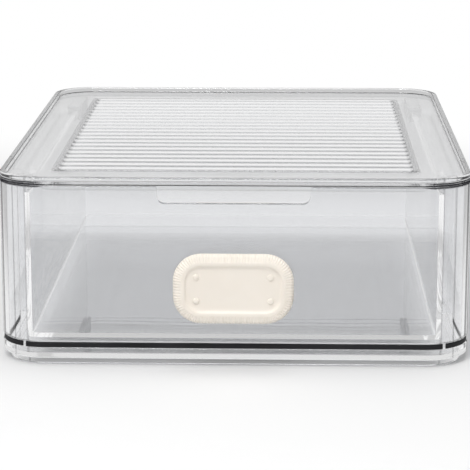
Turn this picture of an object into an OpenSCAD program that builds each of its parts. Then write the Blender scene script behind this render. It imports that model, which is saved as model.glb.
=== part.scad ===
// Clear stackable drawer box: a two-piece case with a reeded top, a hung tray drawer
// with a finger notch and a knurled pull, and a dark seal strip on the front sill.
// X is the width, -Y is the front, +Z is up. Z = 0 is the surface the box stands on.

/* [Case] */
// Outer width of the case
case_w = 250; // [200:5:340]
// Outer depth of the case, front to back
case_d = 305; // [220:5:400]
// Overall height, foot to rim
case_h = 102; // [80:1:180]
// Outer radius of the four upright corners
corner_r = 24; // [16:1:32]
// Thickness of the side and back walls
wall = 3; // [2:0.1:4]
// Depth of the front corners that travel with the drawer
wing_d = 57; // [40:1:80]

/* [Top] */
// Width of the raised stacking rim
rim_w = 3.5; // [2.5:0.1:5]
// Height of the rim above the deck
rim_h = 3; // [2:0.1:3.2]
// Depth of the rim band seen from the front
edge_h = 4.4; // [4:0.1:5.2]
// Thickness of the deck
deck_t = 2.5; // [2:0.1:3.5]
// Distance between neighbouring reeds
reed_pitch = 11.5; // [8:0.5:16]
// Height of a reed above the deck
reed_rise = 1.1; // [0.6:0.1:2]
// Height above the deck of the valleys between reeds
reed_valley = 0.25; // [0.15:0.05:0.4]
// Plain border at the front and back of the reeds
border_y = 30; // [15:1:50]
// Plain border at each side of the reeds
border_x = 27.5; // [20:0.5:50]
// Drop of the front lip below the deck
lip_drop = 2.3; // [1.6:0.1:2.8]
// Distance from the tray wall at which the front lip ends
lip_end = 8; // [6:0.5:20]
// Length of the slope at each end of the front lip
lip_slope = 4; // [2:0.5:5]
// Thickness of the front lip
lip_t = 2.5; // [2:0.1:4]
// Length of each lug that stops the drawer
lug_l = 5; // [4:0.5:10]

/* [Base] */
// Height of the stacking foot ring
foot_h = 3.8; // [3.4:0.1:6]
// Width of the foot ring
foot_w = 3; // [2:0.1:5]
// Thickness of the case floor
floor_t = 2.5; // [2:0.1:3.5]
// Height of the front sill above the floor
sill_h = 3.6; // [2:0.1:5]
// Height of the seal strip on the sill
seal_h = 2.7; // [2:0.1:4]
// Thickness of the seal strip
seal_t = 2.2; // [1.6:0.1:2.5]
// Distance from the side at which the straight seal ends
seal_end = 14.5; // [8:0.5:20]
// Gap between the straight seal and each corner seal
seal_gap = 1.6; // [1:0.1:3]

/* [Drawer] */
// Thickness of the drawer front
front_t = 3; // [2.4:0.1:4]
// Thickness of the tray walls
tray_wall = 2.5; // [2:0.1:3.5]
// Thickness of the tray floor
tray_floor = 2.5; // [2:0.1:3.5]
// Space between the case side and the tray wall
side_space = 13; // [11:0.5:20]
// Space between the tray and the case's back wall
back_space = 5; // [4:0.5:12]
// Height of the tray floor's underside above the drawer front's lower edge
floor_rise = 2.2; // [1:0.1:6]
// Width of the hanging flange along each tray wall
flange_w = 4; // [3:0.1:6]
// Width of the flange along the tray's back wall
back_flange_w = 3; // [1.5:0.1:3.6]
// Thickness of the hanging flange
flange_t = 2.3; // [1.8:0.1:3]
// Thickness of the ledges that carry the flanges
ledge_t = 2; // [1.6:0.1:3]
// How far each ledge reaches under its flange
ledge_hold = 2.5; // [1.5:0.1:2.8]
// Radius of the tray's upright inner corners
tray_r = 7.5; // [4:0.5:12]
// Width of the finger notch
notch_w = 80; // [50:1:120]
// Depth of the finger notch below the drawer front's top edge
notch_d = 8.6; // [7:0.1:12]
// Radius of the notch's lower corners
notch_r = 4; // [2:0.5:6]
// Length of the stop clips at the tray's back corners
stop_l = 40; // [25:1:60]
// Height of the stop clips above the flange
stop_rise = 2.7; // [1.6:0.1:2.9]
// Thickness of a stop clip's inner leg
stop_t = 2.1; // [1.5:0.1:3]
// How far a stop clip's inner leg reaches down the wall
stop_leg = 6.5; // [4:0.5:12]

/* [Pull] */
// Width of the pull plate
pull_w = 63.2; // [56:0.2:80]
// Height of the pull plate
pull_h = 37.6; // [34:0.2:50]
// Corner radius of the pull plate
pull_r = 15; // [11:0.5:16.5]
// Thickness of the pull plate
pull_t = 3.6; // [3:0.1:6]
// Rim width around the pull plate's dished face
pull_rim = 6.8; // [5:0.1:7.5]
// Depth of the dished face
dish_d = 1.4; // [0.8:0.1:2]
// Space for fingertips behind the pull plate
pull_reach = 5.4; // [4.5:0.1:9]
// Height of the pull's centre above the ground
pull_z = 44.4; // [38:1:60]
// Distance between neighbouring knurls
knurl_pitch = 1.05; // [0.9:0.05:2]
// Depth of a knurl
knurl_d = 0.3; // [0.15:0.05:0.5]
// Distance between the studs across the pull
stud_dx = 38.8; // [34:0.2:40]
// Distance between the studs up the pull
stud_dz = 12.8; // [10:0.2:14]
// Diameter of a stud's shank
stud_d = 3; // [2.4:0.1:3.4]
// Height of a stud's domed head
dome_h = 0.9; // [0.5:0.1:1.3]
// Thickness of a stud's cap inside the drawer
cap_t = 1.6; // [1:0.1:3]
// Outer diameter of a stud's cap
cap_d = 7.2; // [6:0.2:10]

/* [Fits] */
// Gap between parts that move past each other
run_gap = 0.3; // [0.2:0.05:0.4]
// Gap between the top's plug and the walls around it
plug_gap = 0.4; // [0.3:0.05:0.6]
// Play of another box's foot inside the rim
stack_gap = 0.6; // [0.4:0.1:1]
// Radial clearance of a stud in its holes
stud_gap = 0.05; // [0.02:0.01:0.1]

/* [Hidden] */
$fn = 96;
clear_tint = [0.86, 0.88, 0.90, 0.45];
seal_tint = [0.09, 0.09, 0.10];
pull_tint = [0.96, 0.94, 0.90];
cut = 1;                       // how far a cutter runs past the face that it cuts
reed_corner = 8;               // corner radius of the reeded panel
stud_end = 0.4;                // how far a stud stands out of its cap
head_lip = 0.2;                // how far a stud's head stands past its shank all round

// Fore and aft: the front face stands back from the frame's edge by half the pull's reach.
pull_out = pull_reach + pull_t;
front_y = -(case_d - pull_out) / 2;
back_y = front_y + case_d;
mid_y = (front_y + back_y) / 2;

// Heights
edge_z = case_h - edge_h;                  // underside of the rim band
deck_z = case_h - rim_h;                   // top of the deck
under_z = deck_z - deck_t;                 // underside of the deck
floor_z = foot_h + floor_t;                // top of the case floor
sill_z = floor_z + sill_h;                 // top of the sill
front_bottom = sill_z + seal_h + run_gap;  // lower edge of the drawer front
front_top = edge_z - run_gap;              // upper edge of the drawer front
tray_z = front_bottom + floor_rise;        // underside of the tray floor
flange_z = under_z - lip_drop - 3 * run_gap;  // top of the tray walls and flange
ledge_z = flange_z - flange_t - run_gap;   // top of the ledges

// Across
tray_out = case_w / 2 - wall - side_space;         // outer face of a tray wall
tray_in = tray_out - tray_wall;                    // inner face of a tray wall
flange_out = tray_out + flange_w;
foot_inset = rim_w + stack_gap;
tray_back = back_y - wall - back_space;            // outer face of the tray's back wall
flange_back = tray_back + back_flange_w;
reed_w = case_w - 2 * border_x;
reed_count = floor((case_d - 2 * border_y) / reed_pitch);
reed_l = reed_count * reed_pitch;
reed_arc = reed_rise - reed_valley;                // how far a reed stands above its valleys
reed_r = (pow(reed_pitch / 2, 2) + pow(reed_arc, 2)) / (2 * reed_arc);
seal_break = case_w / 2 - seal_end;
lug_y = front_y + corner_r;                        // front of the stop lugs, behind the corner arcs

// Rounded rectangle of the case's plan, drawn in from its outline by inset.
module plan(inset = 0) {
    slab([case_w - 2 * inset, case_d - 2 * inset], max(corner_r - inset, 0.5), mid_y);
}

// Rounded rectangle of a given size, centred on X = 0 and Y = y.
module slab(size, r, y = 0) {
    translate([0, y]) {
        square([size.x - 2 * r, size.y], center = true);
        square([size.x, size.y - 2 * r], center = true);
        for (sx = [-1, 1], sy = [-1, 1])
            translate([sx * (size.x / 2 - r), sy * (size.y / 2 - r)]) circle(r);
    }
}

// Everything in plan that lies within depth of the front face.
module front_zone(depth) {
    translate([-case_w, front_y - cut]) square([2 * case_w, depth + cut]);
}

// A plan lifted to a height band.
module band(z0, z1) {
    translate([0, 0, z0]) linear_extrude(z1 - z0) children();
}

// Clear lower moulding: foot ring, floor, sill, side and back walls, and the two ledges.
module case_shell() color(clear_tint) {
    ledge_w = case_w / 2 - tray_out - flange_w + ledge_hold;
    ledge_y = front_y + wing_d + run_gap;
    band(0, foot_h + floor_t / 2) difference() {
        plan(foot_inset);
        plan(foot_inset + foot_w);
    }
    band(foot_h, floor_z) plan();
    difference() {
        band(foot_h, edge_z) difference() {
            plan();
            plan(wall);
        }
        band(sill_z, case_h) front_zone(wing_d);
    }
    band(ledge_z - ledge_t, ledge_z) intersection() {
        plan(wall / 2);
        for (side = [-1, 1])
            translate([side * (case_w / 2 - ledge_w / 2), (ledge_y + back_y) / 2])
                square([ledge_w, back_y - ledge_y], center = true);
    }
}

// Clear top moulding: rim band, deck with reeds, front lip and the two stop lugs.
module case_top() color(clear_tint) {
    lip_y = front_y + front_t + plug_gap;
    lip_half = tray_in - lip_end;
    band(edge_z, case_h) difference() {
        plan();
        plan(rim_w);
    }
    band(under_z, deck_z) plan(wall + plug_gap);
    intersection() {
        band(deck_z - deck_t / 2, case_h) slab([reed_w, reed_l], reed_corner, mid_y);
        for (i = [0 : reed_count - 1])
            translate([0, mid_y + (i - (reed_count - 1) / 2) * reed_pitch, deck_z + reed_rise - reed_r])
                rotate([0, 90, 0]) cylinder(r = reed_r, h = reed_w + 2 * cut, center = true);
    }
    translate([0, lip_y + lip_t, 0]) rotate([90, 0, 0]) linear_extrude(lip_t)
        polygon([[-lip_half, under_z - lip_drop], [lip_half, under_z - lip_drop],
                 [lip_half + lip_slope, under_z + deck_t / 2], [-lip_half - lip_slope, under_z + deck_t / 2]]);
    for (side = [-1, 1])
        translate([side * (tray_in + flange_out) / 2, lug_y + lug_l / 2, under_z - (lip_drop - deck_t / 2) / 2])
            cube([flange_out - tray_in - 1, lug_l, lip_drop + deck_t / 2], center = true);
}

// Plan of the whole seal: a strip just inside the outline, over the sill.
module seal_plan() {
    set_back = (wall - seal_t) / 2;
    intersection() {
        difference() {
            plan(set_back);
            plan(set_back + seal_t);
        }
        front_zone(wing_d - run_gap);
    }
}

// Dark straight strip along the sill.
module seal_front() color(seal_tint) band(sill_z, sill_z + seal_h) intersection() {
    seal_plan();
    square([2 * seal_break, 2 * case_d], center = true);
}

// Dark strip round one front corner.
module seal_corner(side) color(seal_tint) band(sill_z, sill_z + seal_h) intersection() {
    seal_plan();
    translate([side * (seal_break + seal_gap + case_w / 2), 0]) square([case_w, 2 * case_d], center = true);
}

// Plan of the tray: round corners at the back, the front end inside the drawer front.
module tray_plan(half_w, y0, y1, r) {
    slab([2 * half_w, y1 - y0], r, (y0 + y1) / 2);
    translate([-half_w, y0]) square([2 * half_w, (y1 - y0) / 2]);
}

// Places children at the four studs, along the axis that leaves the drawer front.
module at_studs() {
    for (sx = [-1, 1], sz = [-1, 1])
        translate([sx * stud_dx / 2, front_y, pull_z + sz * stud_dz / 2]) rotate([90, 0, 0]) children();
}

// Clear drawer in one moulding: curved front with its wings, tray, flanges and the two
// webs that close the wings at the back.
module drawer_tray() color(clear_tint) difference() {
    wing_y = front_y + wing_d - run_gap;
    union() {
        band(front_bottom, front_top) intersection() {
            difference() {
                plan();
                plan(front_t);
            }
            front_zone(wing_d - run_gap);
        }
        band(tray_z, flange_z) intersection() {
            plan(front_t / 2);
            difference() {
                union() {
                    tray_plan(tray_out, front_y, tray_back, tray_r + tray_wall);
                    translate([0, wing_y - tray_wall / 2]) square([case_w, tray_wall], center = true);
                }
                tray_plan(tray_in, front_y + front_t, tray_back - tray_wall, tray_r);
            }
        }
        band(tray_z, tray_z + tray_floor) intersection() {
            plan(front_t / 2);
            tray_plan(tray_out, front_y, tray_back, tray_r + tray_wall);
        }
        band(flange_z - flange_t, flange_z) difference() {
            tray_plan(flange_out, wing_y - tray_wall / 2, flange_back, tray_r + tray_wall);
            tray_plan(tray_in + tray_wall / 2, front_y, tray_back - tray_wall / 2, tray_r);
        }
    }
    translate([0, front_y + front_t + cut, 0]) rotate([90, 0, 0]) linear_extrude(front_t + 2 * cut)
        slab([notch_w, 2 * notch_d], notch_r, front_top);
    at_studs() cylinder(d = stud_d + 2 * stud_gap, h = 3 * front_t, center = true);
}

// Clear clip over a back corner of the tray wall, which meets the lug at full travel.
module stop_clip(side) {
    y1 = tray_back - tray_wall - tray_r - run_gap;
    x0 = tray_in - run_gap - stop_t;
    module bar(xa, xb, za, zb)
        translate([side > 0 ? xa : -xb, y1 - stop_l, za]) cube([xb - xa, stop_l, zb - za]);
    color(clear_tint) {
        bar(x0, flange_out, flange_z, flange_z + stop_rise);
        bar(x0, x0 + stop_t, flange_z - stop_leg, flange_z + stop_rise / 2);
    }
}

// Point and outward normal at distance s round a rounded rectangle, from the right of its top.
function round_side(w, h, r, s, k = 0) =
    let (run = (k % 2 == 0 ? w : h) - 2 * r, arc = r * PI / 2, a = 90 - 90 * k)
    s > run + arc && k < 3 ? round_side(w, h, r, s - run - arc, k + 1)
    : let (along = min(s, run), turn = a - max(s - run, 0) / r * 180 / PI,
           n = [cos(turn), sin(turn)],
           start = k == 0 ? [-w / 2 + r, h / 2 - r] : k == 1 ? [w / 2 - r, h / 2 - r]
                 : k == 2 ? [w / 2 - r, -h / 2 + r] : [-w / 2 + r, -h / 2 + r])
      [start + along * [cos(a - 90), sin(a - 90)] + r * n, n];

// White plate with a knurled edge and a dished face.
module pull_plate() color(pull_tint) {
    around = 2 * (pull_w + pull_h - 4 * pull_r) + 2 * PI * pull_r;
    knurls = round(around / knurl_pitch);
    edge = [for (i = [0 : 2 * knurls - 1])
        let (p = round_side(pull_w, pull_h, pull_r, i * around / (2 * knurls))) p[0] - (i % 2) * knurl_d * p[1]];
    dish = [pull_w - 2 * pull_rim, pull_h - 2 * pull_rim];
    difference() {
        translate([0, front_y - pull_reach, pull_z]) rotate([90, 0, 0]) difference() {
            linear_extrude(pull_t) polygon(edge);
            translate([0, 0, pull_t - dish_d]) linear_extrude(dish_d + cut) slab(dish, pull_r - pull_rim);
        }
        at_studs() cylinder(d = stud_d + 2 * stud_gap, h = 3 * pull_out, center = true);
    }
}

// White block that stands the plate off the drawer front.
module pull_core() color(pull_tint) difference() {
    translate([0, front_y, pull_z]) rotate([90, 0, 0]) linear_extrude(pull_reach)
        slab([pull_w - 2 * pull_rim, pull_h - 2 * pull_rim], pull_r - pull_rim);
    at_studs() cylinder(d = stud_d + 2 * stud_gap, h = 3 * pull_out, center = true);
}

// Four studs with domed heads, through plate, core and drawer front.
module pull_studs() color(pull_tint) {
    head_z = pull_out - dish_d;
    head_r = stud_d / 2 + head_lip;
    dome_r = (pow(head_r, 2) + pow(dome_h, 2)) / (2 * dome_h);
    tail = front_t + cap_t + stud_end;
    at_studs() {
        translate([0, 0, -tail]) cylinder(d = stud_d, h = head_z + tail);
        intersection() {
            translate([0, 0, head_z + dome_h - dome_r]) sphere(dome_r);
            translate([0, 0, head_z]) cylinder(r = 2 * head_r, h = 2 * dome_h);
        }
    }
}
// Four round caps pushed onto the studs inside the drawer.
module stud_caps() color(pull_tint) at_studs()
    translate([0, 0, -front_t - cap_t]) difference() {
        cylinder(d = cap_d, h = cap_t);
        translate([0, 0, -cut]) cylinder(d = stud_d + stud_gap, h = cap_t + 2 * cut);
    }

case_shell();
case_top();
seal_front();
seal_corner(-1);  // seal_left
seal_corner(1);  // seal_right
drawer_tray();
stop_clip(-1);  // stop_left
stop_clip(1);  // stop_right
pull_plate();
pull_core();
pull_studs();
stud_caps();
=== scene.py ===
import bmesh
import bpy
import numpy as np
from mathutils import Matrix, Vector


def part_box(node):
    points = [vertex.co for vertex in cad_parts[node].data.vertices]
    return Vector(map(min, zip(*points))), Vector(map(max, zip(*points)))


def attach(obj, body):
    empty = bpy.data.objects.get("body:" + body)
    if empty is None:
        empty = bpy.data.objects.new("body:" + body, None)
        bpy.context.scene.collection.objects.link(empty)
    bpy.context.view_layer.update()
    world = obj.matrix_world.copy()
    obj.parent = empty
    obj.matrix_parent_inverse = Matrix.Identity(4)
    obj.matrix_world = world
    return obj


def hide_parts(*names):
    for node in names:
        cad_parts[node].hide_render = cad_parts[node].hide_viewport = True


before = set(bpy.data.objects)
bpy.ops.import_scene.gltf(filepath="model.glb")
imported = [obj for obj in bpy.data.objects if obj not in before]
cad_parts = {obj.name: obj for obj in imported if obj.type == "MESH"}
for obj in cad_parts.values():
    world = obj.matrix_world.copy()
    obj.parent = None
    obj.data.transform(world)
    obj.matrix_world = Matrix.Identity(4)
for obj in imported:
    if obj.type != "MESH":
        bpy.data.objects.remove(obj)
bpy.context.view_layer.update()

# ---------------------------------------------------------------------------------------
# Lower case: one clear injection moulding with a foot ring, a floor, a low sill across the
# front, side and back walls behind the wings, and a ledge along each side for the drawer.
# Every edge has the small radius that the mould leaves.
MM = 0.001
SEAM = 0.02                  # gap between the faces of two pieces that touch
MERGE = 1e-4                 # points closer than this are one
SHARP = np.radians(38)       # an edge that turns by more than this stays sharp


def corners_of(node):
    """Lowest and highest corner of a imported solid, in millimetres."""
    return [np.array(corner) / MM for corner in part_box(node)]


case_low, case_high = corners_of("case_shell")
case_w = case_high[0] - case_low[0]
case_d = case_high[1] - case_low[1]
front_y = case_low[1]
back_y = case_high[1]
edge_z = case_high[2]
corner_r = 24.0
wall = 3.0
wing_d = 57.0
foot_inset = 4.1
foot_w = 3.0
foot_h = 3.8
foot_land = 2.0              # flat strip inside the foot ring, where the underside begins
floor_z = 6.3
floor_land = 3.0             # the same inside the walls, for the floor
sill_z = 9.9
flange_z = 93.3
flange_t = 2.3
run_gap = 0.3
ledge_t = 2.0
ledge_reach = 14.5
ledge_tuck = 1.2             # how far the ledge's root stays below the top of a low wall
root_t = 0.6                 # thickness of that root where there is no ledge
case_steps = 28


def outline(width, depth, front_r, back_r, y0, s):
    """Point and outward normal at distance s round a rounded rectangle.

    The walk starts in the middle of the front (y = y0) and goes towards +X. A straight run
    is start + s * direction, and a corner is centre + r * (cos a, sin a)."""
    half, arc_f, arc_b = width / 2, front_r * np.pi / 2, back_r * np.pi / 2
    side = depth - front_r - back_r
    half_front, back = half - front_r, width - 2 * back_r
    lengths = [half_front, arc_f, side, arc_b, back, arc_b, side, arc_f, half_front]
    y1 = y0 + depth
    starts = [(0, y0, 0), (half - front_r, y0 + front_r, front_r), (half, y0 + front_r, 0),
              (half - back_r, y1 - back_r, back_r), (half - back_r, y1, 0),
              (-half + back_r, y1 - back_r, back_r), (-half, y1 - back_r, 0),
              (-half + front_r, y0 + front_r, front_r), (-half + front_r, y0, 0)]
    ends = np.cumsum(lengths)
    s = np.mod(s, ends[-1])
    points = np.zeros((len(s), 2))
    normals = np.zeros((len(s), 2))
    for k, (x, y, r) in enumerate(starts):
        here = (s >= ends[k] - lengths[k] - 1e-9) & (s <= ends[k] + 1e-9)
        run = s[here] - (ends[k] - lengths[k])
        turn = (k // 2) * np.pi / 2 - np.pi / 2
        angle = turn + (run / r if r else 0 * run)
        n = np.stack([np.cos(angle), np.sin(angle)], 1)
        along = np.array([-np.sin(turn), np.cos(turn)])
        points[here] = [x, y] + (r * n if r else run[:, None] * along)
        normals[here] = n
    return points, normals


def stations(width, depth, front_r, back_r, steps, extra=()):
    """Distances round that outline: both ends of each run, steps to a corner, and extra ones.

    The extra distances are mirrored, so that both sides of the outline have them."""
    half, side = width / 2 - front_r, depth - front_r - back_r
    lengths = [half, front_r * np.pi / 2, side, back_r * np.pi / 2, width - 2 * back_r]
    marks = np.concatenate([[0], np.cumsum(lengths)])
    right = np.concatenate([np.linspace(marks[1], marks[2], steps + 1),
                            np.linspace(marks[3], marks[4], steps + 1)])
    total = 2 * (marks[3] + lengths[3]) + lengths[4]
    extra = np.asarray(extra, float)
    every = np.concatenate([[0], right, total - right, np.mod(extra, total), np.mod(-extra, total)])
    return np.unique(np.round(every, 6)), total


def rounded(corners, s, steps=5):
    """A profile of corners (inset, height, radius), rounded and repeated at every station in s.

    A corner C becomes the curve (1-u)^2 A + 2u(1-u) C + u^2 B, where A and B lie back along
    its two edges by the radius, or by 0.45 of the shorter edge. Radius 0 keeps the corner. An
    inset or a height may be an array with a value for each station."""
    places = np.array([[np.broadcast_to(v, s.shape) for v in corner[:2]] for corner in corners])
    places = places.transpose(0, 2, 1)
    rows = []
    for k, (_, _, radius) in enumerate(corners):
        here = places[k]
        if not radius:
            rows.append(here)
            continue
        back, on = places[k - 1] - here, places[(k + 1) % len(corners)] - here
        back_l = np.linalg.norm(back, axis=1, keepdims=True)
        on_l = np.linalg.norm(on, axis=1, keepdims=True)
        cut = np.minimum(radius, 0.45 * np.minimum(back_l, on_l))
        a, b = here + back / back_l * cut, here + on / on_l * cut
        for u in np.linspace(0, 1, steps + 1):
            rows.append((1 - u) ** 2 * a + 2 * u * (1 - u) * here + u ** 2 * b)
    return np.array(rows)


def carry(profile, points, normals):
    """Put (inset, height) profiles on a path: point - inset * normal, with height as Z."""
    flat = points[None] - profile[..., :1] * normals[None]
    return np.concatenate([flat, profile[..., 1:]], -1)


def skin(grid, round_profile=False, round_path=True):
    """Vertices and faces of a profile carried along a path: grid is (profile, path, 3).

    Neighbouring points make quads, and each open end of a tube is closed by one flat face."""
    rows, cols = grid.shape[:2]
    index = np.arange(rows * cols).reshape(rows, cols)
    a = index if round_profile else index[:-1]
    b = np.roll(index, -1, 0) if round_profile else index[1:]
    if round_path:
        quads = np.stack([a, np.roll(a, -1, 1), np.roll(b, -1, 1), b], -1)
    else:
        quads = np.stack([a[:, :-1], a[:, 1:], b[:, 1:], b[:, :-1]], -1)
    faces = quads.reshape(-1, 4).tolist()
    if round_path and not round_profile:
        faces += [index[0][::-1].tolist(), index[-1].tolist()]
    if round_profile and not round_path:
        faces += [index[:, 0].tolist(), index[:, -1][::-1].tolist()]
    return grid.reshape(-1, 3), faces


def closed_mesh(name, parts, unit):
    """One mesh of all the parts, with its doubles merged and its faces turned outwards.

    The parts are in millimetres, and unit is a millimetre in the mesh."""
    verts, faces = [], []
    for part_verts, part_faces in parts:
        start = sum(len(v) for v in verts)
        verts.append(part_verts)
        faces += [[i + start for i in face] for face in part_faces]
    mesh = bpy.data.meshes.new(name)
    mesh.from_pydata((np.concatenate(verts) * unit).tolist(), [], faces)
    work = bmesh.new()
    work.from_mesh(mesh)
    bmesh.ops.remove_doubles(work, verts=work.verts, dist=MERGE * unit)
    bmesh.ops.recalc_face_normals(work, faces=work.faces)
    work.to_mesh(mesh)
    work.free()
    return mesh


def make_piece(name, parts, material, body, nodes):
    """Make the parts, given in millimetres, one object in metres that rides on a body."""
    mesh = closed_mesh(name, parts, MM)
    mesh.shade_smooth()
    mesh.set_sharp_from_angle(angle=SHARP)
    mesh.materials.append(material)
    piece = bpy.data.objects.new(name, mesh)
    bpy.context.scene.collection.objects.link(piece)
    even = piece.modifiers.new("even_normals", "WEIGHTED_NORMAL")
    even.keep_sharp = True
    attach(piece, body)
    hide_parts(*nodes)


class Value:
    """A shader socket that arithmetic works on: each operator adds one Math node."""

    def __init__(self, tree, socket):
        self.tree = tree
        self.socket = socket

    def maths(self, operation, a, b=0.0):
        """Add a Math node for a and b, which are sockets or plain numbers."""
        return self.tree.node("ShaderNodeMath", {"operation": operation}, {0: a, 1: b})

    def __add__(self, other):
        return self.maths("ADD", self, other)

    def __radd__(self, other):
        return self.maths("ADD", other, self)

    def __sub__(self, other):
        return self.maths("SUBTRACT", self, other)

    def __rsub__(self, other):
        return self.maths("SUBTRACT", other, self)

    def __mul__(self, other):
        return self.maths("MULTIPLY", self, other)

    def __rmul__(self, other):
        return self.maths("MULTIPLY", other, self)

    def __truediv__(self, other):
        return self.maths("DIVIDE", self, other)

    def __pow__(self, other):
        return self.maths("POWER", self, other)

    def __abs__(self):
        return self.maths("ABSOLUTE", self)


class Finish:
    """A material or a world whose nodes are written as calls."""

    def __init__(self, owner, end):
        owner.use_nodes = True
        self.owner = owner
        self.nodes = owner.node_tree.nodes
        self.links = owner.node_tree.links
        self.nodes.clear()
        self.end = self.nodes.new(end)

    def node(self, kind, settings=None, inputs=None, output=0):
        """Add a node of this kind: its settings first, then its sockets' values or links."""
        new = self.nodes.new(kind)
        for key, value in (settings or {}).items():
            if key == "stops":
                places = new.color_ramp.elements
                while len(places) < len(value):
                    places.new(0.5)
                for element, (place, colour) in zip(places, value):
                    element.position = place
                    element.color = colour
            else:
                setattr(new, key, value)
        self.feed(new, inputs or {})
        return Value(self, new.outputs[output])

    def feed(self, new, inputs):
        """Link a node's sockets to values, or set them to plain numbers and colours."""
        for key, value in inputs.items():
            if isinstance(value, Value):
                self.links.new(value.socket, new.inputs[key])
            else:
                new.inputs[key].default_value = value

    def finish(self, **sockets):
        """Feed the output node, and hand back the material or the world."""
        self.feed(self.end, sockets)
        return self.owner


def larger(a, b):
    """The larger of a socket and another socket or number."""
    return a.maths("MAXIMUM", a, b)


def ramp(value, start, end, low=0.0, high=1.0, smooth=False):
    """A value that goes from low at start to high at end, evenly or softly, and no further.

    start may be larger than end."""
    kind = {"interpolation_type": "SMOOTHSTEP"} if smooth else {}
    return value.tree.node("ShaderNodeMapRange", kind, {
        "Value": value, "From Min": start, "From Max": end, "To Min": low, "To Max": high})


def band(value, centre, half):
    """1 where value is within half of centre, falling to 0 at twice that."""
    return ramp(abs(value - centre), half, 2 * half, 1.0, 0.0)


def blend(share, one, other):
    """Two shaders mixed: one where share is 0, and the other where it is 1."""
    return one.tree.node("ShaderNodeMixShader", {}, {0: share, 1: one, 2: other})


def grey(level):
    """A neutral colour."""
    return level, level, level, 1


# Painted dark lines in the clear plastic: painted shade for the dark lines that refraction draws along the
# joints and the moulded details. Their places and half widths in millimetres, and how dark they are
rim_joint_z, rim_joint_half = edge_z + 0.15, 0.34
rim_joint_x, rim_joint_dark = (85.0, 112.0), (0.92, 0.97)       # darker towards the sides
rim_joint_under, rim_joint_swell = 0.3, 1.2                     # fainter below, wider at the front corners
face_skin, face_fade = 0.7, 1.2
front_turn = 3.0
side_turn = 2.0
step_z, step_half, step_dark = edge_z + 1.7, 0.25, 0.95
wing_joint_y, wing_joint_half, wing_joint_dark = front_y + wing_d - 0.15, 0.5, 0.7
wing_skin = 1.4
# where a faint painted shade lies on the tray's wall, just behind the front
tray_join_x, tray_join_half_x = 109.0, 0.4
tray_join_y, tray_join_half_y, tray_join_dark = front_y + 4.5, 1.2, 0.3
nose_x, nose_half, nose_dark = 116.2, 0.25, 0.35
nose_y = (front_y + 8.0, front_y + 7.0)
flank_y, flank_half, flank_dark = front_y + corner_r - 3.5, 1.3, 0.8
flank_x = (123.8, 124.2)
top_low, top_high = corners_of("case_top")
case_h = top_high[2]
deck_z = case_h - 3.0
mid_y = (front_y + back_y) / 2
border_y = 30.0
reed_pitch = 11.5
reed_count = int((case_d - 2 * border_y) // reed_pitch)
reed_l = reed_count * reed_pitch
reed_foot = (0.05, 0.3)                                         # heights over the deck where a reed begins
reed_end_x, reed_end_dark, valley_dark = 95.6, 0.28, 0.1
tooth_in, tooth_slope = (2.4, 2.0), 0.42
end_fade = (4.0, 0.4)
valley_half = (0.5, 0.2)
valley_end = 0.2


def painted_shade_lines(across, along, height):
    """How dark the painted lines are at a point, from 0 to 1: painted shade for the dark lines that
    refraction shows.

    Each line is a band about one coordinate, times masks that keep it on the face that it
    belongs to. A point's distance from the line on which the corners' centres lie tells the
    outer face: there it equals the corner radius. Where lines cross, the darkest shows."""
    aside = abs(across)
    fore = abs(along - mid_y)
    centre_x, centre_y = case_w / 2 - corner_r, case_d / 2 - corner_r
    beyond_x, beyond_y = larger(aside - centre_x, 0.0), larger(fore - centre_y, 0.0)
    outward = (beyond_x * beyond_x + beyond_y * beyond_y) ** 0.5
    outer_face = ramp(outward, corner_r - face_fade, corner_r - face_skin)
    front_corner = (outer_face * ramp(aside, centre_x - front_turn, centre_x + front_turn)
                    * ramp(along, front_y + corner_r + side_turn, front_y + corner_r - side_turn))
    above_joint = (height - rim_joint_z) / (1.0 + rim_joint_swell * front_corner)
    # painted shade along the real joint under the rim: darker towards the sides and wider at the front
    # corners
    rim_joint_shade = (larger(outer_face, rim_joint_under) * ramp(aside, *rim_joint_x, *rim_joint_dark)
                 * band(above_joint, 0.0, rim_joint_half))
    # painted shade: a dark arc high on the rim at the front corners, as refraction shows there
    step_shade_line = step_dark * front_corner * band(height, step_z, step_half)
    # painted shade along the real joint at the end of each wing
    wing_joint_shade = wing_joint_dark * (band(along, wing_joint_y, wing_joint_half)
                                    * band(aside, case_w / 2, wing_skin))
    # painted shade: a faint dark patch on the tray's wall just behind the front
    tray_join_shade = tray_join_dark * (band(along, tray_join_y, tray_join_half_y) * band(aside, tray_join_x, tray_join_half_x))
    # painted shade: dark upright lines round the drawer's front corners, as refraction shows there
    nose_shade_line = nose_dark * band(aside, nose_x, nose_half) * ramp(along, *nose_y)
    flank_shade_line = flank_dark * band(along, flank_y, flank_half) * ramp(aside, *flank_x)

    # painted shade: a dark saw-toothed band where the reeds stop, and faint dark lines along the valleys
    # between them
    from_valley = along.maths("PINGPONG", along - (mid_y - reed_l / 2), reed_pitch / 2)
    on_panel = (ramp(fore, reed_l / 2, reed_l / 2 - 1)
                * ramp(height, deck_z + reed_foot[0], deck_z + reed_foot[1]))
    teeth = ramp(aside - tooth_slope * from_valley, reed_end_x - tooth_in[0], reed_end_x - tooth_in[1])
    reed_end_shade = reed_end_dark * (on_panel * teeth
                                 * ramp(aside, reed_end_x + end_fade[0], reed_end_x + end_fade[1]))
    valley_shade = valley_dark * (on_panel * ramp(from_valley, *valley_half)
                             * ramp(aside, reed_end_x, reed_end_x - valley_end))

    darkest = rim_joint_shade
    for line in (step_shade_line, wing_joint_shade, tray_join_shade, nose_shade_line, flank_shade_line, reed_end_shade, valley_shade):
        darkest = larger(darkest, line)
    return darkest


# Where the painted glow that the plastic gives long paths changes: over the floors, under the top, at the
# sides
floor_top_z = (22.0, 27.0)
flange_low_z = (87.0, 91.0)
box_side_x = (110.5, 112.5)


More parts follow.
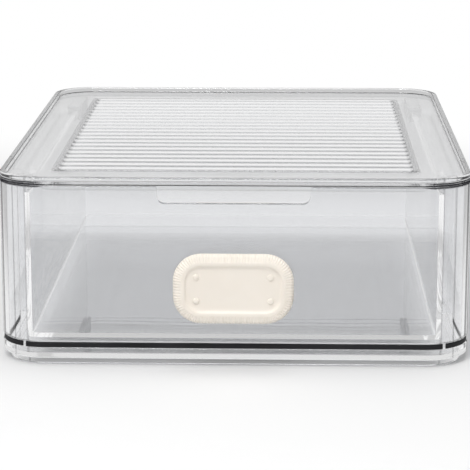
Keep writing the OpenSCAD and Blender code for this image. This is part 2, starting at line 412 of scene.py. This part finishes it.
def clear_plastic(name, tint, density, bends, edge, low_glow, high_glow, flange_glow, wing_glow,
                  milk=0.0):
    """Polished clear polymer: refracts, with faint flow marks and rubbed patches.

    It takes a little light for each metre inside it (density). Its colour is painted darker as it
    turns away from the eye, a painted shade for the dark rims that refraction shows: edge gives
    where that starts and ends, from 0 to 1, and by how much. Lamp light passes straight on to
    what stands behind. A path that a wall has led round more than bends times ends in a painted
    glow, an emission that stands for the average light such a long path gathers: low_glow in the
    floors, high_glow in the walls above them, flange_glow under the top, and wing_glow at the
    outside of the box. The joints and moulded details get painted dark lines, painted shade for
    what refraction shows there, and milk is haze."""
    f = Finish(bpy.data.materials.new(name), "ShaderNodeOutputMaterial")
    place = f.node("ShaderNodeTexCoord", output="Object")
    across, along, height = (
        f.node("ShaderNodeSeparateXYZ", {}, {"Vector": place}, output=axis) / MM for axis in "XYZ")
    flow = f.node("ShaderNodeTexNoise", {}, {"Vector": place, "Scale": 14.0, "Detail": 1.0})
    rub = f.node("ShaderNodeTexNoise", {}, {"Vector": place, "Scale": 260.0, "Detail": 3.0})
    ripple = f.node("ShaderNodeBump", {}, {"Height": flow, "Strength": 0.05, "Distance": 0.002})
    # painted shade: the colour turns dark where the surface turns away from the eye
    glance = f.node("ShaderNodeLayerWeight", {}, {"Blend": 0.5}, output="Facing")
    edge_shade = ramp(glance, edge[0], edge[1], 0.0, edge[2], smooth=True)
    colour = f.node("ShaderNodeValToRGB", {"stops": [(0.0, tint), (1.0, (0.08, 0.08, 0.09, 1))]},
                    {"Fac": edge_shade})
    polished = f.node("ShaderNodeBsdfPrincipled", {}, {
        "Base Color": colour, "Roughness": 0.004 + 0.02 * rub ** 3.0, "IOR": 1.5,
        "Transmission Weight": 1.0, "Normal": ripple})
    haze = f.node("ShaderNodeBsdfDiffuse", {}, {"Color": grey(0.9)})
    # painted shade: a near-black diffuse shader, mixed in where the painted lines lie
    painted_line_shade = f.node("ShaderNodeBsdfDiffuse", {}, {"Color": (0.03, 0.03, 0.035, 1)})
    with_painted_lines = blend(painted_shade_lines(across, along, height), blend(milk, polished, haze), painted_line_shade)

    shadow_ray = f.node("ShaderNodeLightPath", output="Is Shadow Ray")
    diffuse_ray = f.node("ShaderNodeLightPath", output="Is Diffuse Ray")
    straight_on = f.node("ShaderNodeBsdfTransparent", {}, {"Color": (0.82, 0.822, 0.826, 1)})
    shell = blend(larger(shadow_ray, diffuse_ray), with_painted_lines, straight_on)

    # painted glow: an emission for paths led round more than bends times, brighter or dimmer by zone
    low, high, flange, wing = (
        f.node("ShaderNodeEmission", {}, {"Color": grey(1), "Strength": light})
        for light in (low_glow, high_glow, flange_glow, wing_glow))
    painted_glow = blend(ramp(height, *floor_top_z), low, high)
    painted_glow = blend(ramp(height, *flange_low_z), painted_glow, flange)
    painted_glow = blend(ramp(abs(across), *box_side_x), painted_glow, wing)
    depth = f.node("ShaderNodeLightPath", output="Ray Depth")
    led_round = depth.maths("GREATER_THAN", depth, bends + 0.5)
    inside = f.node("ShaderNodeVolumeAbsorption", {}, {"Color": (0.0, 0.015, 0.05, 1), "Density": density})
    return f.finish(Surface=blend(led_round, shell, painted_glow), Volume=inside)


clear_case = clear_plastic(
    "clear_case", tint=(0.96, 0.963, 0.97, 1), density=0.0, bends=14, edge=(0.8, 0.98, 0.45),
    low_glow=0.75, high_glow=0.7, flange_glow=0.65, wing_glow=0.6)

side_start = case_w / 2 - corner_r + corner_r * np.pi / 2       # where a side's straight run starts
side_end = side_start + case_d - 2 * corner_r
wall_start = side_start + wing_d - corner_r
rise_l = 0.5                                                    # length over which a wall steps up
marks = [wall_start, wall_start + rise_l, wall_start + 2 * rise_l, side_end - rise_l, side_end]
s, around = stations(case_w, case_d, corner_r, corner_r, case_steps, marks)
from_front = np.minimum(s, around - s)
risen = np.clip((from_front - wall_start) / rise_l, 0, 1)
top = sill_z + (edge_z - sill_z) * risen
on_side = (np.clip((from_front - wall_start - rise_l) / rise_l, 0, 1)
           * np.clip((side_end - from_front) / rise_l, 0, 1))
ledge_in = wall + SEAM + (ledge_reach - wall - SEAM) * on_side
ledge_z = flange_z - flange_t - run_gap
ledge_top = np.minimum(ledge_z, top - ledge_tuck)
ledge_low = np.minimum(ledge_z - ledge_t, top - ledge_tuck - root_t)
foot_in = foot_inset + foot_w
points, normals = outline(case_w, case_d, corner_r, corner_r, front_y, s)
profile = rounded([
    (foot_in + foot_land, foot_h, 0), (foot_in, foot_h, 0.5), (foot_in, 0, 0.7), (foot_inset, 0, 0.7),
    (foot_inset, foot_h, 0.4), (0, foot_h, 1.5), (0, top, 0.6), (wall, top, 0.5),
    (wall, ledge_top, 0.3), (ledge_in, ledge_top, 0.4), (ledge_in, ledge_low, 0.4),
    (wall, ledge_low, 0.3), (wall, floor_z, 0.5), (wall + floor_land, floor_z, 0)], s)
make_piece("lower_case", [skin(carry(profile, points, normals))], clear_case,
           "case", ["case_shell"])

# ---------------------------------------------------------------------------------------
# Seal strips: dark soft strips laid on the sill, one straight and one round each front
# corner, with a small gap between them. Their tops are slightly crowned.
seal_low, seal_high = corners_of("seal_front")
seal_set_back = seal_low[1] - front_y
seal_t = 2.2
seal_break = seal_high[0]
seal_gap = 1.6
seal_steps = 180
corner_cut = seal_break + seal_gap
wing_end = wall_start - run_gap


def soft_seal():
    """Dense dark elastomer with a fine grain and a low, even sheen."""
    f = Finish(bpy.data.materials.new("dark_seal"), "ShaderNodeOutputMaterial")
    place = f.node("ShaderNodeTexCoord", output="Object")
    grain = f.node("ShaderNodeTexNoise", {}, {"Vector": place, "Scale": 900.0, "Detail": 4.0})
    cloud = f.node("ShaderNodeTexNoise", {}, {"Vector": place, "Scale": 35.0, "Detail": 2.0})
    stops = [(0.3, (0.006, 0.006, 0.007, 1)), (0.75, (0.014, 0.014, 0.016, 1))]
    colour = f.node("ShaderNodeValToRGB", {"stops": stops}, {"Fac": cloud})
    rough = f.node("ShaderNodeBump", {}, {"Height": grain, "Strength": 0.25, "Distance": 0.0002})
    return f.finish(Surface=f.node("ShaderNodeBsdfPrincipled", {}, {
        "Base Color": colour, "Roughness": 0.55 + 0.2 * grain, "Specular IOR Level": 0.25,
        "Normal": rough}))


def straight_cut(x, inset):
    """Distance round the outline of a straight cut at x, for a line that runs inset from it.

    On the corner's arc sin(angle) = (|x| - centre) / (radius - inset). A cut at the box's side
    stands for the end of the wing."""
    centre = case_w / 2 - corner_r
    angle = np.arcsin(np.clip((abs(x) - centre) / (corner_r - inset), 0, 1))
    return np.sign(x) * (wing_end + 0 * inset if abs(x) >= case_w / 2 else centre + angle * corner_r)


def seal_strip(start_x, end_x):
    """A rounded bar along the front outline, from a straight cut at one x to one at another."""
    share = np.linspace(0, 1, seal_steps)
    low, high = seal_low[2] + SEAM, seal_high[2]
    near, far = seal_set_back, seal_set_back + seal_t
    profile = rounded([(near, low, 0.25), (near, high, 0.7), (far, high, 0.7), (far, low, 0.25)],
                      share, steps=4)
    inset = profile[..., 0]
    s = straight_cut(start_x, inset) * (1 - share) + straight_cut(end_x, inset) * share
    points, normals = outline(case_w, case_d, corner_r, corner_r, front_y, s.ravel())
    flat = points.reshape(*s.shape, 2) - inset[..., None] * normals.reshape(*s.shape, 2)
    return skin(np.concatenate([flat, profile[..., 1:]], -1), round_profile=True, round_path=False)


seal_finish = soft_seal()
make_piece("front_seal", [seal_strip(-seal_break, seal_break)], seal_finish,
           "case", ["seal_front"])
make_piece("left_seal", [seal_strip(-case_w / 2, -corner_cut)], seal_finish,
           "case", ["seal_left"])
make_piece("right_seal", [seal_strip(corner_cut, case_w / 2)], seal_finish,
           "case", ["seal_right"])

# ---------------------------------------------------------------------------------------
# Top: a second clear moulding that plugs into the case. A raised rim runs round its deck,
# moulded reeds cross the middle, and a lip hangs under its front edge. Behind each front
# corner a small lug hangs down, and stops the drawer.
rim_w = 3.5
deck_land = 4.0
under_z = deck_z - 2.5
lip_z = top_low[2]
lip_t = 2.5
lip_half = 98.5
lip_slope = 4.0
lip_land = 2.0
lip_near = (6.0, 2.0)                   # extra stations, this far before the slope starts
plug_in = 3.4
border_x = 26.0
reed_w = case_w - 2 * border_x
reed_rise = 1.1
reed_valley = 0.25
reed_round = 0.8
reed_steps = 14
round_steps, bead_steps, middle_steps = 4, 8, 8
bead_w = 3.5
bead_h = 0.9
margin_in = (6.0, 8.0)                  # where the panel's grid starts to widen
middle_in = 20.0                        # and where its even middle starts
top_steps = 32
lug_x = (107.0, 112.5)
lug_l = 5.0
lug_sink = 1.0
lug_round, lug_edge = 0.8, 0.4

marks = [lip_half - lip_near[0], lip_half - lip_near[1], lip_half, lip_half + lip_slope / 2,
         lip_half + lip_slope]
s, around = stations(case_w, case_d, corner_r, corner_r, top_steps, marks)
points, normals = outline(case_w, case_d, corner_r, corner_r, front_y, s)
from_front = np.minimum(s, around - s)
hang = np.clip((lip_half + lip_slope - from_front) / lip_slope, 0, 1)
lip_low = under_z - SEAM - (under_z - lip_z - SEAM) * hang
lip_back = plug_in + lip_t
profile = rounded([
    (rim_w + deck_land, deck_z, 0), (rim_w, deck_z, 1.2), (rim_w, case_h, 1.2), (0, case_h, 1.4),
    (0, edge_z + SEAM, 0.6), (plug_in, edge_z + SEAM, 0.25), (plug_in, lip_low, 0.7),
    (lip_back, lip_low, 0.7), (lip_back, under_z, 0.3), (lip_back + lip_land, under_z, 0)], s, steps=6)
ring = carry(profile, points, normals)
ring_verts, ring_faces = skin(ring)
del ring_faces[-2]           # the flat face inside the rim gives way to the frame and the reeds


def reeded_panel():
    """The deck's middle as heights on a grid, with the loop of points round its edge.

    Between two valleys a reed is a circular arc, height = rise - (r - sqrt(r^2 - t^2)). The reeds
    stop short of each side against a bead, which is half an ellipse across, and the panel's
    outermost points lie level with the deck."""
    half_x, half_y = reed_w / 2, reed_l / 2
    fine = np.linspace(0, reed_round, round_steps + 1)
    bead = np.linspace(0, bead_w, bead_steps + 1)
    reed_end = bead_w - reed_round / 2 + fine
    margin = np.unique(np.round(np.concatenate([bead, reed_end, margin_in]), 5))
    middle = np.linspace(-half_x + middle_in, half_x - middle_in, middle_steps + 1)
    x = np.concatenate([margin - half_x, middle, half_x - margin[::-1]])
    y = np.linspace(-half_y, half_y, reed_count * reed_steps + 1)
    y = np.unique(np.round(np.concatenate([y, fine - half_y, half_y - fine]), 5))
    gx, gy = np.meshgrid(x, y, indexing="ij")
    from_side, from_end = half_x - np.abs(gx), half_y - np.abs(gy)
    fade = np.clip((from_side - bead_w) / reed_round + 0.5, 0, 1) * np.clip(from_end / reed_round, 0, 1)
    arc = reed_rise - reed_valley
    r = ((reed_pitch / 2) ** 2 + arc ** 2) / (2 * arc)
    t = np.mod(gy + half_y, reed_pitch) - reed_pitch / 2
    height = (reed_rise - r + np.sqrt(r ** 2 - t ** 2)) * fade
    bulge = np.sqrt(np.clip(1 - (2 * from_side / bead_w - 1) ** 2, 0, 1))
    height = np.maximum(height, bead_h * bulge * np.sqrt(np.clip(from_end / bead_w, 0, 1)))
    height[[0, -1]] = 0
    height[:, [0, -1]] = 0
    verts = np.stack([gx, gy + mid_y, deck_z + height], -1)
    index = np.arange(gx.size).reshape(gx.shape)
    quads = np.stack([index[:-1, :-1], index[1:, :-1], index[1:, 1:], index[:-1, 1:]], -1)
    loop = np.concatenate([index[0], index[1:, -1], index[-1, :-1][::-1], index[1:-1, 0][::-1]])
    return verts.reshape(-1, 3), quads.reshape(-1, 4).tolist(), loop


def flat_frame(outer, inner, height):
    """Triangles of the flat ring between two closed loops of points at one height."""
    work = bmesh.new()
    edges = []
    for loop in (outer, inner):
        corners = [work.verts.new((px, py, height)) for px, py in loop]
        edges += [work.edges.new((a, b)) for a, b in zip(corners, corners[1:] + corners[:1])]
    work.verts.index_update()
    bmesh.ops.triangle_fill(work, edges=edges, use_beauty=True, normal=(0, 0, 1))
    verts = np.array([v.co[:] for v in work.verts])
    faces = [[v.index for v in face.verts] for face in work.faces]
    work.free()
    return verts, faces


def rounded_block(low, high, upright_r, edge_r, steps=6):
    """A block with rounded uprights and edges: a rounded rectangle carried up from low to high.

    Its end faces start 0.9 of the upright radius in from the sides."""
    low, high = np.array(low, float), np.array(high, float)
    size = high - low
    s, _ = stations(size[0], size[1], upright_r, upright_r, steps)
    points, normals = outline(size[0], size[1], upright_r, upright_r, low[1], s)
    points[:, 0] += (low[0] + high[0]) / 2
    inner = 0.9 * upright_r
    profile = rounded([(inner, low[2], 0), (0, low[2], edge_r), (0, high[2], edge_r),
                       (inner, high[2], 0)], s, steps=4)
    return skin(carry(profile, points, normals))


def mirrored_blocks(low, high, upright_r, edge_r):
    """The block from low to high on the right, after its mirror image on the left."""
    (x0, y0, z0), (x1, y1, z1) = low, high
    return [rounded_block((-x1, y0, z0), (-x0, y1, z1), upright_r, edge_r),
            rounded_block(low, high, upright_r, edge_r)]


def fuse(first, *others, trim=()):
    """One closed skin round solids that overlap, as in one moulding: first, less trim, with others."""
    blocks = []
    for parts in (first, *trim, *others):
        block = bpy.data.objects.new("part", closed_mesh("part", parts, 1.0))
        bpy.context.scene.collection.objects.link(block)
        blocks.append(block)
    for k, other in enumerate(blocks[1:]):
        join = blocks[0].modifiers.new("join", "BOOLEAN")
        join.operation = "DIFFERENCE" if k < len(trim) else "UNION"
        join.solver = "EXACT"
        join.object = other
    whole = blocks[0].evaluated_get(bpy.context.evaluated_depsgraph_get()).to_mesh()
    verts = np.empty(len(whole.vertices) * 3)
    whole.vertices.foreach_get("co", verts)
    faces = [list(face.vertices) for face in whole.polygons]
    for block in blocks:
        mesh = block.data
        bpy.data.objects.remove(block)
        bpy.data.meshes.remove(mesh)
    return verts.reshape(-1, 3), faces


panel_verts, panel_faces, panel_loop = reeded_panel()
frame_part = flat_frame(ring[0][:, :2], panel_verts[panel_loop][:, :2], deck_z)
lug_y = front_y + corner_r
left_lug, right_lug = mirrored_blocks(
    (lug_x[0], lug_y, lip_z), (lug_x[1], lug_y + lug_l, under_z + lug_sink), lug_round, lug_edge)
top_skin = fuse([(ring_verts, ring_faces), (panel_verts, panel_faces), frame_part],
                [left_lug], [right_lug])
clear_top = clear_plastic(
    "clear_top", tint=(0.97, 0.972, 0.976, 1), density=1.2, bends=14, edge=(0.86, 0.98, 0.3),
    low_glow=0.9, high_glow=0.9, flange_glow=0.9, wing_glow=0.9)
make_piece("reeded_top", [top_skin], clear_top, "case", ["case_top"])

# ---------------------------------------------------------------------------------------
# Drawer: a clear moulding. Its front bends round both corners into short wings, with a
# finger notch in the top edge, and behind it a tray hangs by flanges from the case ledges.
tray_low, tray_high = corners_of("drawer_tray")
front_low, front_top = tray_low[2], tray_high[2]
front_t = 3.0
notch_half = 40.0
notch_d = 8.6
notch_r = 4.0
notch_lip = 0.5
lip_out, lip_up = np.array([0.35, 0.7, 1.0]), np.array([0.72, 0.97, 1.0])
notch_land = 6.0
past_notch = 4.0
past_corner = 8.0
end_r = 0.7
notch_steps, front_corner_steps, end_steps = 8, 32, 5

turn = np.linspace(0, np.pi / 2, notch_steps + 1)
notch_x = np.concatenate([
    [0, notch_half - notch_r - notch_land], notch_half - notch_r + notch_r * np.sin(turn),
    notch_half + notch_lip * lip_out, [notch_half + past_notch]])
notch_rise = np.concatenate([[0, 0], notch_r - notch_r * np.cos(turn), notch_d * lip_up, [notch_d]])
corner_s = np.linspace(case_w / 2 - corner_r, side_start, front_corner_steps + 1)
round_end = wing_end - end_r + end_r * np.sin(np.linspace(0, np.pi / 2, end_steps + 1))
half_walk = np.concatenate([notch_x, corner_s, [side_start + past_corner], round_end])
half_walk = np.unique(np.round(half_walk, 6))
s = np.concatenate([-half_walk[:0:-1], half_walk])
points, normals = outline(case_w, case_d, corner_r, corner_r, front_y, s)
top = front_top - notch_d + np.interp(np.abs(s), notch_x, notch_rise, right=notch_d)
into_end = np.clip((np.abs(s) - wing_end + end_r) / end_r, 0, 1)
tuck = end_r * (1 - np.sqrt(np.clip(1 - into_end ** 2, 0, 1)))
profile = rounded([(tuck, front_low, 0.7), (tuck, top, 0.8), (front_t - tuck, top, 0.8),
                   (front_t - tuck, front_low, 0.7)], s)
front_part = skin(carry(profile, points, normals), round_profile=True, round_path=False)

tray_out, tray_wall = 109.0, 2.5
tray_z, tray_floor = 15.1, 2.5
under_land, floor_in = 3.0, 2.0
nose_r, tail_r = 4.5, 10.0
flange_w, back_flange_w = 4.0, 3.0
trim_y = front_y + 1.8                  # the tray's round nose is cut off here, inside the front
nose_lap = 0.5
back_lap = 3.0
tray_steps = 14
web_sink, web_set_back = 0.1, 0.05
web_round, web_edge = 0.5, 0.4
trim_reach = 5.0
tray_front = trim_y - nose_r - nose_lap
tray_back = tray_high[1] - back_lap
tray_d = tray_back - tray_front
web_y = front_y + wing_d - run_gap
tray_side = tray_out - nose_r + nose_r * np.pi / 2
web_s = tray_side + web_y - tray_wall - tray_front - nose_r
tail_s = tray_side + tray_d - nose_r - tail_r
marks = [web_s, web_s + rise_l, tail_s]
s, around = stations(2 * tray_out, tray_d, nose_r, tail_r, tray_steps, marks)
points, normals = outline(2 * tray_out, tray_d, nose_r, tail_r, tray_front, s)
from_front = np.minimum(s, around - s)
floor_top = tray_z + tray_floor
wide = np.interp(from_front, [web_s, web_s + rise_l, tail_s, tail_s + tail_r * np.pi / 2],
                 [SEAM, flange_w, flange_w, back_flange_w])
under = flange_z - flange_t
profile = rounded([
    (under_land, tray_z, 0), (0, tray_z, 1.6), (0, under, 0.3), (-wide, under, 0.5),
    (-wide, flange_z, 0.5), (tray_wall, flange_z, 0.7), (tray_wall, floor_top, 2.0),
    (tray_wall + floor_in, floor_top, 0)], s)
tray_part = skin(carry(profile, points, normals))
left_web, right_web = mirrored_blocks(
    (tray_out - tray_wall / 2, web_y - tray_wall, tray_z + web_sink),
    (case_w / 2 - front_t / 2, web_y - web_set_back, flange_z - web_sink), web_round, web_edge)
open_front = rounded_block((-case_w, tray_front - trim_reach, 0), (case_w, trim_y, case_h), 1, 1)
drawer_skin = fuse([tray_part], [front_part], [left_web], [right_web], trim=[[open_front]])
clear_drawer = clear_plastic(
    "clear_drawer", tint=(0.95, 0.953, 0.96, 1), density=0.0, bends=10, edge=(0.8, 0.98, 0.45),
    low_glow=0.6, high_glow=0.95, flange_glow=0.38, wing_glow=0.5)
make_piece("drawer", [drawer_skin], clear_drawer, "drawer", ["drawer_tray"])

# ---------------------------------------------------------------------------------------
# Stop clips: two small clear clips snapped over the tray's back corners. They meet the lugs
# under the deck when the drawer is fully out.
clip_leg_t = 2.1
clip_rows = 9
clip_finish = clear_plastic(
    "cloudy_clip", tint=(0.95, 0.953, 0.96, 1), density=0.0, bends=10, edge=(0.84, 0.98, 0.6),
    low_glow=0.9, high_glow=0.9, flange_glow=0.9, wing_glow=0.9, milk=0.3)
for side, node in ((-1, "stop_left"), (1, "stop_right")):
    low, high = corners_of(node)
    inner, outer = (low[0], high[0]) if side > 0 else (high[0], low[0])
    leg = inner + side * clip_leg_t
    y = np.linspace(low[1], high[1], clip_rows)
    path = np.stack([0 * y, y], 1)
    facing = np.tile([-1.0, 0.0], (clip_rows, 1))
    bottom = flange_z + SEAM
    profile = rounded([
        (inner, low[2], 0.5), (inner, high[2], 0.8), (outer, high[2], 0.6), (outer, bottom, 0.4),
        (leg, bottom, 0.2), (leg, low[2], 0.5)], y, steps=4)
    make_piece(node.replace("stop", "stop_clip"),
               [skin(carry(profile, path, facing), round_profile=True, round_path=False)],
               clip_finish, "drawer", [node])

# ---------------------------------------------------------------------------------------
# Pull: a warm white plate with a crowned rim. The rim's outer slope is knurled all round,
# and the dished middle has four domed studs. A block behind stands it off the drawer.
plate_low, plate_high = corners_of("pull_plate")
plate_w, plate_t, plate_h = plate_high - plate_low
plate_z = (plate_low[2] + plate_high[2]) / 2
plate_r = 15.0
plate_land = 5.0
chamfer_in, chamfer_h = 0.3, 0.5
side_h = 1.5
shoulder_in, shoulder_h = 1.2, 2.9
crown_in = 4.6
crown_w, crown_drop = 1.6, 0.2
dish_in = 7.3
dish_t = plate_t - 1.4
dish_edge_in, dish_edge_h = 0.3, 0.25
dish_foot, dish_land = 0.9, 3.0
knurl_pitch = 1.57
knurl_deep = 0.3
knurl_lean = (0.6, -0.8)                # a groove sinks inwards and back, square to the slope
knurl_steps = 10
band_low, band_top, band_fade = 0.9, 0.35, 0.5
core_low, core_high = corners_of("pull_core")
core_w, core_t, core_h = core_high - core_low
core_r = 8.2
core_land = 4.0
core_steps = 14


def white_plastic():
    """Warm white moulded plastic with a fine spark grain and slow, faint shifts of tone."""
    f = Finish(bpy.data.materials.new("white_plastic"), "ShaderNodeOutputMaterial")
    place = f.node("ShaderNodeTexCoord", output="Object")
    grain = f.node("ShaderNodeTexNoise", {}, {"Vector": place, "Scale": 1400.0, "Detail": 3.0})
    cloud = f.node("ShaderNodeTexNoise", {}, {"Vector": place, "Scale": 60.0, "Detail": 2.0})
    stops = [(0.25, (0.865, 0.80, 0.715, 1)), (0.8, (0.895, 0.835, 0.755, 1))]
    colour = f.node("ShaderNodeValToRGB", {"stops": stops}, {"Fac": cloud})
    rough = f.node("ShaderNodeBump", {}, {"Height": grain, "Strength": 0.2, "Distance": 0.0001})
    return f.finish(Surface=f.node("ShaderNodeBsdfPrincipled", {}, {
        "Base Color": colour, "Roughness": 0.38 + 0.12 * grain, "Normal": rough,
        "Subsurface Weight": 0.08, "Subsurface Radius": (0.004, 0.0035, 0.003),
        "Subsurface Scale": 0.5}))


def carry_forward(profile, points, normals, back):
    """Put profiles on a path drawn in X and Z: their height stands forward of y = back."""
    solid = carry(profile, points, normals)
    solid[..., 2] = back - solid[..., 2]
    return solid[..., [0, 2, 1]]


white = white_plastic()
length = 2 * (plate_w + plate_h - 4 * plate_r) + 2 * np.pi * plate_r
knurls = int(round(length / knurl_pitch))
walk = np.arange(knurls * knurl_steps)
s = walk * length / (knurls * knurl_steps)
points, normals = outline(plate_w, plate_h, plate_r, plate_r, plate_low[2], s)
groove = 0.5 - 0.5 * np.cos(2 * np.pi * walk / knurl_steps)
profile = rounded([
    (plate_land, 0, 0), (chamfer_in, 0, 0.3), (0, chamfer_h, 0.3), (0, side_h, 0.8),
    (shoulder_in, shoulder_h, 1.2), (crown_in, plate_t, 1.0),
    (crown_in + crown_w, plate_t - crown_drop, 0.8),
    (dish_in - dish_edge_in, dish_t + dish_edge_h, 0.6), (dish_in + dish_foot, dish_t, 0.6),
    (dish_in + dish_land, dish_t, 0)], s, steps=4)
on_band = (np.clip((profile[..., 1] - band_low) / band_fade, 0, 1)
           * np.clip((crown_in - band_top - profile[..., 0]) / band_fade, 0, 1))
sunk = knurl_deep * on_band * groove[None]
profile = profile + sunk[..., None] * np.array(knurl_lean)
make_piece("pull_knurled_plate", [skin(carry_forward(profile, points, normals, plate_high[1]))],
           white, "drawer", ["pull_plate"])

s, _ = stations(core_w, core_h, core_r, core_r, core_steps)
points, normals = outline(core_w, core_h, core_r, core_r, core_low[2], s)
profile = rounded([(core_land, 0, 0), (0, 0, 0.5), (0, core_t, 0.5), (core_land, core_t, 0)], s, steps=4)
make_piece("pull_block", [skin(carry_forward(profile, points, normals, core_high[1]))],
           white, "drawer", ["pull_core"])

# ---------------------------------------------------------------------------------------
# Studs and caps: four white studs with domed heads hold the pull on, and a clear cap is
# pressed over each one inside the drawer.
stud_low, stud_high = corners_of("pull_studs")
stud_dx, stud_dz = 38.8, 12.8
shank_r = 1.5
head_r = 1.75
tip_r = 0.05
cap_low, cap_high = corners_of("stud_caps")
cap_r = 3.6
bore_r = shank_r + 0.06
turned_steps = 40


def turned(x, z, stops, steps, hollow=False):
    """A turned part on a fore-and-aft axis: a profile of (radius, y, rounding) round a circle."""
    angle = np.arange(turned_steps) * 2 * np.pi / turned_steps
    profile = rounded(stops, angle, steps)
    rim = np.stack([np.cos(angle), np.sin(angle)], 1)
    across = np.array([x, z]) + profile[..., :1] * rim[None]
    return skin(np.stack([across[..., 0], profile[..., 1], across[..., 1]], -1), round_profile=hollow)


at_studs = [(sx * stud_dx / 2, plate_z + sz * stud_dz / 2) for sx in (-1, 1) for sz in (-1, 1)]
seat_y = plate_high[1] - dish_t
dome_y = stud_low[1]
dome_h = seat_y - dome_y
stud_stops = [
    (tip_r, dome_y, 0), (0.55 * head_r, dome_y + 0.08 * dome_h, 0.5),
    (0.9 * head_r, dome_y + 0.4 * dome_h, 0.5), (head_r, seat_y + SEAM, 0.05),
    (shank_r, seat_y + SEAM, 0.05), (shank_r, stud_high[1], 0.4), (tip_r, stud_high[1], 0)]
cap_stops = [(bore_r, cap_low[1] + SEAM, 0.1), (cap_r, cap_low[1] + SEAM, 0.3),
             (cap_r, cap_high[1], 0.7), (bore_r, cap_high[1], 0.2)]
make_piece("pull_stud_heads", [turned(x, z, stud_stops, 5) for x, z in at_studs],
           white, "drawer", ["pull_studs"])
make_piece("stud_cap_set", [turned(x, z, cap_stops, 4, hollow=True) for x, z in at_studs],
           clear_drawer, "drawer", ["stud_caps"])

# ---------------------------------------------------------------------------------------
# Studio, in metres: a white floor, soft light from the front and from above, and a pale
# surround that the clear walls show. The camera stands in front, a little above the box.
scene = bpy.context.scene
scene.view_settings.view_transform = "Standard"
scene.cycles.max_bounces = 32
scene.cycles.transmission_bounces = 32
scene.cycles.transparent_max_bounces = 48
scene.cycles.glossy_bounces = 32
scene.cycles.sample_clamp_indirect = 2
scene.cycles.use_denoising = True

floor_half = 6.0
shadow_reach = (0.25, 0.6)              # the shadow fades to white between these distances
# the darker tone, seen through the plastic, is painted shade under the box
sheet_tones = (0.86, 0.53)              # to the camera, and through the plastic
under_edge = (-0.034, 0.012)            # from inside the box's outline to past it: plain tones begin
tone_reach, tone_fall = (0.05, 0.3), (0.875, 0.0)       # how far out, and the share of white there
plain_tones = (0.6, 1.0)


def ray_masks(f):
    """1 for what the camera sees straight, and 1 for what it sees bent or mirrored."""
    seen = f.node("ShaderNodeLightPath", output="Is Camera Ray")
    mirrored = f.node("ShaderNodeLightPath", output="Is Glossy Ray")
    through = f.node("ShaderNodeLightPath", output="Is Transmission Ray")
    return seen, larger(mirrored, through)


def between(f, tones, share):
    """A grey between two tones."""
    stops = [(0.0, grey(tones[0])), (1.0, grey(tones[1]))]
    return f.node("ShaderNodeValToRGB", {"stops": stops}, {"Fac": share})


def studio_floor():
    """Matt white sheet that keeps the shadow near the box and is plain white further out.

    What the plastic bends or mirrors shows a darker sheet under the box, a painted shade, and
    round the box a plain tone that falls from nearly white to grey."""
    f = Finish(bpy.data.materials.new("studio_floor"), "ShaderNodeOutputMaterial")
    place = f.node("ShaderNodeTexCoord", output="Object")
    from_middle = f.node("ShaderNodeVectorMath", {"operation": "LENGTH"}, {0: place}, output="Value")
    across, along = (
        f.node("ShaderNodeSeparateXYZ", {}, {"Vector": place}, output=axis) for axis in "XY")
    past_box = larger(abs(across) - case_w / 2 * MM, abs(along) - back_y * MM)
    seen, bent = ray_masks(f)
    sheet = f.node("ShaderNodeBsdfDiffuse", {}, {"Color": between(f, sheet_tones, bent)})
    near_white = ramp(past_box, *tone_reach, *tone_fall, smooth=True)
    tone = between(f, plain_tones, larger(seen, near_white))
    plain = f.node("ShaderNodeEmission", {}, {"Color": tone, "Strength": 1.0})
    far = ramp(from_middle, *shadow_reach, smooth=True)
    open_floor = ramp(past_box, *under_edge, smooth=True)
    return f.finish(Surface=blend(far * seen + open_floor * bent, sheet, plain))


floor_mesh = bpy.data.meshes.new("floor")
floor_corners = [(x * floor_half, y * floor_half, 0) for x, y in ((-1, -1), (1, -1), (1, 1), (-1, 1))]
floor_mesh.from_pydata(floor_corners, [], [(0, 1, 2, 3)])
floor_mesh.materials.append(studio_floor())
floor = bpy.data.objects.new("floor", floor_mesh)
scene.collection.objects.link(floor)

# The surround is palest a little above the horizon, and dark overhead
horizon_up, horizon_light = (0.1, 0.35), (0.73, 0.96)
zenith_up, zenith_dark = (0.45, 0.8), (0.0, 0.8)
sky_light = 0.41
scene.world = bpy.data.worlds.new("surround")
w = Finish(scene.world, "ShaderNodeOutputWorld")
view = w.node("ShaderNodeTexCoord", output="Generated")
up = w.node("ShaderNodeSeparateXYZ", {}, {"Vector": view}, output="Z")
seen, bent = ray_masks(w)
low_sky = ramp(up, *horizon_up, *horizon_light)
dark_sky = ramp(up, *zenith_up, *zenith_dark, smooth=True)
strength = seen + bent * low_sky * (1.0 - dark_sky) + (1.0 - seen) * (1.0 - bent) * sky_light
w.finish(Surface=w.node("ShaderNodeBackground", {}, {"Color": grey(1), "Strength": strength}))


def soft_lamp(name, place, aim, size, power):
    """A square area lamp at place, turned to aim."""
    lamp = bpy.data.lights.new(name, "AREA")
    lamp.shape = "SQUARE"
    lamp.size = size
    lamp.energy = power
    holder = bpy.data.objects.new(name, lamp)
    holder.location = place
    look = np.array(aim) - np.array(place)
    holder.rotation_euler = (np.arctan2(np.hypot(look[0], look[1]), -look[2]), 0,
                             np.arctan2(look[0], -look[1]) + np.pi)
    scene.collection.objects.link(holder)


soft_lamp("front_bank", place=(-0.3, -1.0, 1.5), aim=(0, -0.15, 0.05), size=0.8, power=20.0)
soft_lamp("top_bank", place=(0.1, 0.1, 2.0), aim=(0, 0, 0.05), size=1.0, power=8.0)

camera_at = (0.0278, -1.1655, 0.3084)
camera_down, camera_turn = 0.2284, 0.0266
camera = bpy.data.cameras.new("camera")
camera.lens = 153.4
camera.sensor_width = 36.0
camera.clip_start = 0.01
holder = bpy.data.objects.new("camera", camera)
holder.location = camera_at
holder.rotation_euler = (np.pi / 2 - camera_down, 0, camera_turn)
scene.collection.objects.link(holder)
scene.camera = holder

bpy.context.view_layer.update()
